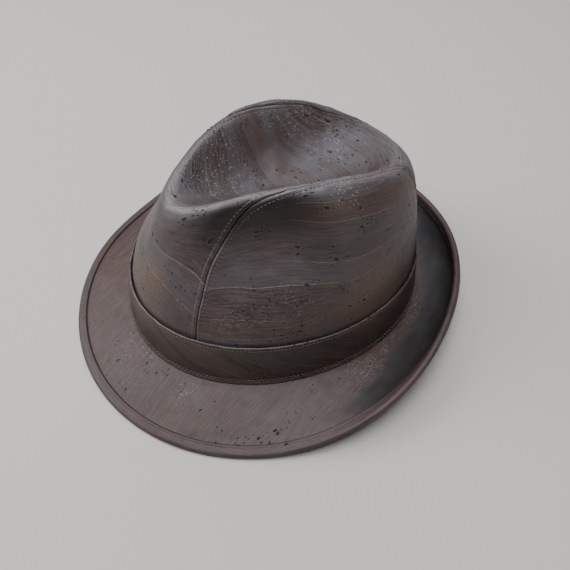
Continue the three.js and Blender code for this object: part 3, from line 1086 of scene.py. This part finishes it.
class FedoraColours(bpy.types.PropertyGroup):
    """Colours of the cloth and thread"""

    crown_dark: colour_property("Crown, dark", "Dark streaks of the crown", (0.024, 0.015, 0.013))
    crown_mid: colour_property("Crown, mid", "Light streaks of the crown", (0.068, 0.044, 0.038))
    crown_warm: colour_property("Crown, warm", "Warm strips of the crown", (0.092, 0.050, 0.033))
    crown_cool: colour_property("Crown, cool", "Grey strips of the crown", (0.066, 0.053, 0.054))
    band_dark: colour_property("Band, dark", "Dark streaks of the band", (0.017, 0.011, 0.009))
    band_mid: colour_property("Band, mid", "Light streaks of the band", (0.052, 0.034, 0.028))
    brim_dark: colour_property("Brim, dark", "Dark streaks of the brim", (0.025, 0.0125, 0.008))
    brim_mid: colour_property("Brim, mid", "Light streaks of the brim", (0.076, 0.041, 0.028))
    edge_dark: colour_property("Binding, dark", "Streaks of the binding", (0.028, 0.014, 0.012))
    edge_mid: colour_property("Binding, mid", "The binding's cloth", (0.068, 0.036, 0.030))
    thread: colour_property("Thread", "Sewing thread of the crown", (0.17, 0.13, 0.10))
    band_thread: colour_property("Band thread", "Sewing thread of the band", (0.20, 0.15, 0.11))
    edge_thread: colour_property("Binding thread", "Thread of the binding", (0.03, 0.02, 0.016))


# Operators


class FEDORA_OT_crown_panels(bpy.types.Operator):
    """Make the centre panel and the two side panels of the crown"""

    bl_idname = "fedora.crown_panels"
    bl_label = "Crown panels"

    def execute(self, context):
        sizes = context.scene.fedora_sizes
        cloth = cork_material("crown", context.scene.fedora_colours)
        across = 2 * both_ways(edge_steps(CENTRE_HALF)) - 1
        places = centre_places(np.linspace(0, 1, CENTRE_ROWS), across)
        seams = ("right", "left")
        piece = panel_piece("crown_centre_cloth", places, seams, CENTRE_RIDGE, sizes, cloth)
        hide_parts("crown_centre")
        rise = (1 - edge_steps(SIDE_RISE, coarse=1.1) / SIDE_RISE)[::-1]
        share = both_ways(edge_steps(SIDE_HALF, coarse=1.15))
        seams = ("right", "left", "top")
        for name, side in (("left", 1), ("right", -1)):
            places = side_places(side, rise, share)
            title = f"crown_side_{name}_cloth"
            piece = panel_piece(title, places, seams, SIDE_RIDGE, sizes, cloth)
            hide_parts(f"crown_side_{name}")
        return {"FINISHED"}


class FEDORA_OT_band(bpy.types.Operator):
    """Make the band that wraps the crown's foot"""

    bl_idname = "fedora.band"
    bl_label = "Band"

    def execute(self, context):
        angle = round_angles(BAND_AROUND)[:, None]
        near = np.arange(0, 4.6, 0.28)
        up = np.concatenate([near, np.linspace(4.7, BAND_RISE - 4.7, 20), BAND_RISE - near[::-1]])
        outside, normal = band_face(angle, up[None, :], BAND_WALL + CLEARANCE)
        inside, _ = band_face(angle, up[None, ::6], CLEARANCE)
        way, girth = round_length(outside[:, 20])
        from_top = BAND_RISE - up
        relief = ridges(from_top, BAND_TOP_RIDGES) + ridges(up, BAND_FOOT_RIDGES)
        relief = relief - roll_off(from_top, BAND_TOP_ROLL) - roll_off(up, BAND_FOOT_ROLL)
        relief = relief + gather(way, from_top, *BAND_TOP_GATHER)
        relief = relief + gather(way, up, *BAND_FOOT_GATHER) + small_waves(outside, BAND_WAVES)
        outside = outside + normal * relief[..., None]
        outside[:, 0, 2] = joint_height(angle)[:, 0] + CLEARANCE
        sections = np.concatenate([outside, inside[:, ::-1]], 1)
        heights = np.concatenate([up, up[::6][::-1]])
        grain = np.stack(np.broadcast_arrays(way, heights), -1)
        # The band's top and foot edges are painted pale: partly wear, partly painted highlight
        edges = ridges(BAND_RISE - heights, BAND_TOP_WEAR_AND_HIGHLIGHT) + ridges(heights, BAND_FOOT_WEAR_AND_HIGHLIGHT)
        marks = {"wear_and_highlight": edges + 0 * way, "pale": 0 * (edges + way)}
        cloth = cork_material("band", context.scene.fedora_colours)
        piece = ring_piece("hat_band_cloth", sections, grain, cloth, girth, marks)
        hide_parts("hat_band")
        return {"FINISHED"}


class FEDORA_OT_brim(bpy.types.Operator):
    """Make the brim and the binding folded over its edge"""

    bl_idname = "fedora.brim"
    bl_label = "Brim and binding"

    def execute(self, context):
        self.make_brim(context.scene.fedora_colours)
        self.make_binding(context.scene.fedora_colours)
        return {"FINISHED"}

    def make_brim(self, colours):
        """The brim, from under the crown's wall to the middle of its bound edge."""
        angle = round_angles(BRIM_AROUND)[:, None]
        reach = brim_reach(angle)
        foot = reach - BINDING_FLAT
        inward = -(BAND_WALL + CLEARANCE + CROWN_WALL) * np.array([1.0, 0.5]) + 0 * foot
        share = np.concatenate([np.linspace(0, 0.95, 30), np.linspace(0.965, 1, 4)])
        hidden = foot + np.array([0.5, 1.0]) * (reach - foot)
        out = np.concatenate([inward, share * foot, hidden], 1)
        half = BRIM_WALL / 2
        top = brim_point(angle, out, half)
        under = brim_point(angle, out, -half)
        open_part = smooth_step(out, 0.5, 4) * smooth_step(foot - out, 0.0, 3.0)
        lift = brim_point(angle, out, 1) - brim_point(angle, out, 0)
        top = top + lift * (small_waves(top, BRIM_WAVES) * open_part)[..., None]
        sections = np.concatenate([top, nose_point(angle, half, 90.0), under[:, ::-1]], 1)
        flat = in_direction(angle, joint_radius(angle), 0 * angle)
        flat = flat + way_out(angle) * out[..., None]
        tip = flat[:, -1:] + way_out(angle) * half
        grain = np.concatenate([flat, tip, flat[:, ::-1]], 1)[..., :2]
        # Painted shade: the inside of the curled brim at the sides and back is darkened
        turned = np.abs(angle)
        start = 0.55 - 0.5 * smooth_step(turned, 80, 125)
        curl = smooth_step(out / foot, start, start + 0.35) * smooth_step(turned, 70, 100)
        painted_shade = np.concatenate([1.7 * curl, 0 * reach, 0 * out], 1)
        cloth = cork_material("brim", colours)
        piece = ring_piece("brim_cloth", sections, grain, cloth, marks={"painted_shade": painted_shade})
        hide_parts("brim")

    def make_binding(self, colours):
        """The strip of cloth folded over the brim's edge."""
        angle = round_angles(BINDING_AROUND)[:, None]
        reach = brim_reach(angle)
        foot = reach - BINDING_FLAT
        share = np.concatenate([np.linspace(0, 0.7, 13), np.linspace(0.8, 1, 3)])
        out = foot + share * (reach - foot)
        from_foot = share * BINDING_FLAT
        lift = ridges(from_foot, BINDING_RIDGES) - roll_off(from_foot, BINDING_ROLL)
        lift = lift + gather(np.radians(angle) * BRIM_RADIUS, from_foot, *BINDING_GATHER)
        top = brim_point(angle, out, EDGE_RADIUS + lift)
        under = brim_point(angle, out, -(EDGE_RADIUS + lift))
        nose = nose_point(angle, EDGE_RADIUS, np.linspace(15, 165, 11))
        inner = EDGE_RADIUS - BINDING_WALL
        places = out[:, [-1, 6, 0]]
        inside = np.concatenate([
            brim_point(angle, places[:, ::-1], inner), nose_point(angle, inner, 90.0),
            brim_point(angle, places, -inner),
        ], 1)
        sections = np.concatenate([top, nose, under[:, ::-1], inside[:, ::-1]], 1)
        over = run_length(sections, 1)
        way, girth = round_length(sections[:, top.shape[1] + nose.shape[1] // 2])
        grain = np.stack(np.broadcast_arrays(way, over), -1)
        # Painted shadow along the binding's inner edge, and painted shade over the turned-up
        # binding at the sides and back
        turned_up = smooth_step(np.abs(angle), 75, 110)
        painted_shade = 0 * over
        painted_shade[:, :len(share)] = ridges(from_foot, BINDING_SHADOW)
        painted_shade[:, :len(share)] += turned_up * smooth_step(from_foot, 5.2, 1.0)
        cloth = cork_material("binding", colours)
        marks = {"painted_shade": painted_shade}
        piece = ring_piece("brim_binding_cloth", sections, grain, cloth, girth, marks)
        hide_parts("brim_binding")


def step_on_crown(place, way):
    """The disc place reached by this step over the crown's face."""
    x, y = crown_slopes(place)
    xx, xy, yy = (np.sum(a * b, -1) for a, b in ((x, x), (x, y), (y, y)))
    wx, wy = np.sum(x * way, -1), np.sum(y * way, -1)
    size = xx * yy - xy * xy
    return place + np.stack([(yy * wx - xy * wy) / size, (xx * wy - xy * wx) / size], -1)


def run_of(row):
    """Which way a closed row of points runs."""
    return np.roll(row, -1, 0) - np.roll(row, 1, 0)


class FEDORA_OT_stitching(bpy.types.Operator):
    """Make the rows of stitches along the crown's seams, the band and the binding"""

    bl_idname = "fedora.stitching"
    bl_label = "Stitching"

    def execute(self, context):
        sizes = context.scene.fedora_sizes
        colours = context.scene.fedora_colours
        self.crown_rows(sizes, thread_material("crown_thread", colours.thread))
        spacing = sizes.stitch_spacing
        self.band_rows(spacing, thread_material("band_thread", colours.band_thread))
        self.binding_rows(spacing, thread_material("binding_thread", colours.edge_thread))
        return {"FINISHED"}

    def crown_rows(self, sizes, thread):
        """Topstitching on both sides of each crown seam."""
        spacing = sizes.stitch_spacing
        ways = np.arange(spacing, SEAM_WAY[-1] - spacing, spacing)
        shares = np.interp(ways, SEAM_WAY, np.linspace(0, 1, len(SEAM_WAY)))
        place = seam_place(shares)
        step = 1e-3
        tangent = unit(crown_at(seam_place(shares + step)) - crown_at(seam_place(shares - step)))
        beside = np.cross(crown_normal(place), tangent)
        rows = []
        for side, ridge in ((1, CENTRE_RIDGE), (-1, SIDE_RIDGE)):
            aside = step_on_crown(place, beside * side * sizes.stitch_offset)
            point, up = crown_at(aside), crown_normal(aside)
            distance, way = seam_distances(point)
            lift = crown_relief(point, aside, distance, way, ridge, sizes)
            point = point + up * (lift + STITCHES["crown_stitches"][2])[..., None]
            for mirror in (1, -1):
                flip = np.array([mirror, 1.0, 1.0])
                rows.append((point * flip, tangent * flip, up * flip))
        piece = stitch_piece("crown_stitches", rows, spacing, thread)

    def band_rows(self, spacing, thread):
        """The row under the band's top edge and the two rows above its foot."""
        count = int(BAND_GIRTH / spacing)
        out = BAND_WALL + CLEARANCE + STITCHES["band_stitches"][2]
        rows = []
        for up, shift in BAND_STITCH_ROWS:
            point, normal = band_face(round_angles(count) + shift * 360 / count, up, out)
            rows.append((point, run_of(point), normal))
        piece = stitch_piece("band_stitches", rows, spacing, thread)

    def binding_rows(self, spacing, thread):
        """The row that holds the binding, on the top and on the underside."""
        angle = round_angles(int(BRIM_GIRTH / spacing))
        out = brim_reach(angle) - BINDING_FLAT + BINDING_STITCH_PLACE
        lift = STITCHES["binding_stitches"][2]
        rows = []
        for side in (1, -1):
            point = brim_point(angle, out, side * (EDGE_RADIUS + lift))
            above = brim_point(angle, out, side * (EDGE_RADIUS + 1))
            rows.append((point, run_of(point), above - point))
        piece = stitch_piece("binding_stitches", rows, spacing, thread)


def placed(side, up, back, place):
    """The matrix of a lamp or a camera with these axes."""
    return Matrix([*np.stack([side, up, back, place], 1).tolist(), [0, 0, 0, 1]])


class FEDORA_OT_stage(bpy.types.Operator):
    """Set the pale floor, the soft lights and the camera"""

    bl_idname = "fedora.stage"
    bl_label = "Stage"

    def execute(self, context):
        self.make_floor()
        self.make_lights(context.scene)
        context.scene.camera = self.make_camera()
        return {"FINISHED"}

    def make_floor(self):
        mesh = bpy.data.meshes.new("floor")
        corners = np.array([(-1, -1, 0), (1, -1, 0), (1, 1, 0), (-1, 1, 0)]) * FLOOR_HALF
        mesh.from_pydata((corners - np.array([0, 0, FLOOR_DROP])).tolist(), [], [(0, 1, 2, 3)])
        material = bpy.data.materials.new("pale_floor")
        material.use_nodes = True
        shader = material.node_tree.nodes["Principled BSDF"]
        shader.inputs["Base Color"].default_value = FLOOR_COLOUR
        shader.inputs["Roughness"].default_value = 0.8
        mesh.materials.append(material)
        floor = new_object("floor", mesh)

    def make_lights(self, scene):
        world = bpy.data.worlds.new("soft_room")
        world.use_nodes = True
        background = world.node_tree.nodes["Background"]
        background.inputs["Color"].default_value = ROOM_COLOUR
        background.inputs["Strength"].default_value = ROOM_STRENGTH
        scene.world = world
        for name, place, size, power, colour in LAMP_ROWS:
            light = bpy.data.lights.new(name, "AREA")
            light.size = size
            light.energy = power
            light.color = colour
            back = unit(np.array(place))
            side = unit(np.cross([0, 0, 1.0], back))
            lamp = new_object(name, light)
            lamp.matrix_world = placed(side, np.cross(back, side), back, place)

    def make_camera(self):
        """The camera, worked out from its turn round the hat, its height and its roll."""
        turn, height, roll = (math.radians(CAMERA[key]) for key in ("turn", "height", "roll"))
        right = np.array([math.cos(turn), math.sin(turn), 0.0])
        level = math.cos(height)
        back = np.array([math.sin(turn) * level, -math.cos(turn) * level, math.sin(height)])
        up = np.cross(back, right)
        place = back * CAMERA["distance"] + right * CAMERA["right"] + up * CAMERA["up"]
        place = (place + np.array(CAMERA["target"])) * METRES
        rolled_right = right * math.cos(roll) + up * math.sin(roll)
        rolled_up = -right * math.sin(roll) + up * math.cos(roll)
        lens = bpy.data.cameras.new("camera")
        lens.sensor_width = 36.0
        lens.lens = CAMERA["lens"]
        lens.clip_start = 0.01
        camera = new_object("camera", lens)
        camera.matrix_world = placed(rolled_right, rolled_up, back, place)
        return camera


STEPS = (
    FEDORA_OT_crown_panels, FEDORA_OT_band, FEDORA_OT_brim, FEDORA_OT_stitching, FEDORA_OT_stage,
)


class FEDORA_PT_panel(bpy.types.Panel):
    """The fedora's steps and settings"""

    bl_idname = "FEDORA_PT_panel"
    bl_label = "Fedora"
    bl_space_type = "VIEW_3D"
    bl_region_type = "UI"
    bl_category = "Fedora"

    def draw(self, context):
        for step in STEPS:
            self.layout.operator(step.bl_idname)
        for group in (context.scene.fedora_sizes, context.scene.fedora_colours):
            box = self.layout.box()
            for name in group.bl_rna.properties.keys():
                if name not in ("name", "rna_type"):
                    box.prop(group, name)


CLASSES = (FedoraSizes, FedoraColours, *STEPS, FEDORA_PT_panel)


def register():
    for cls in CLASSES:
        bpy.utils.register_class(cls)
    bpy.types.Scene.fedora_sizes = bpy.props.PointerProperty(type=FedoraSizes)
    bpy.types.Scene.fedora_colours = bpy.props.PointerProperty(type=FedoraColours)


def unregister():
    del bpy.types.Scene.fedora_colours
    del bpy.types.Scene.fedora_sizes
    for cls in reversed(CLASSES):
        bpy.utils.unregister_class(cls)


def main():
    register()
    bpy.ops.fedora.crown_panels()
    bpy.ops.fedora.band()
    bpy.ops.fedora.brim()
    bpy.ops.fedora.stitching()
    bpy.ops.fedora.stage()


if __name__ == "__main__":
    main()
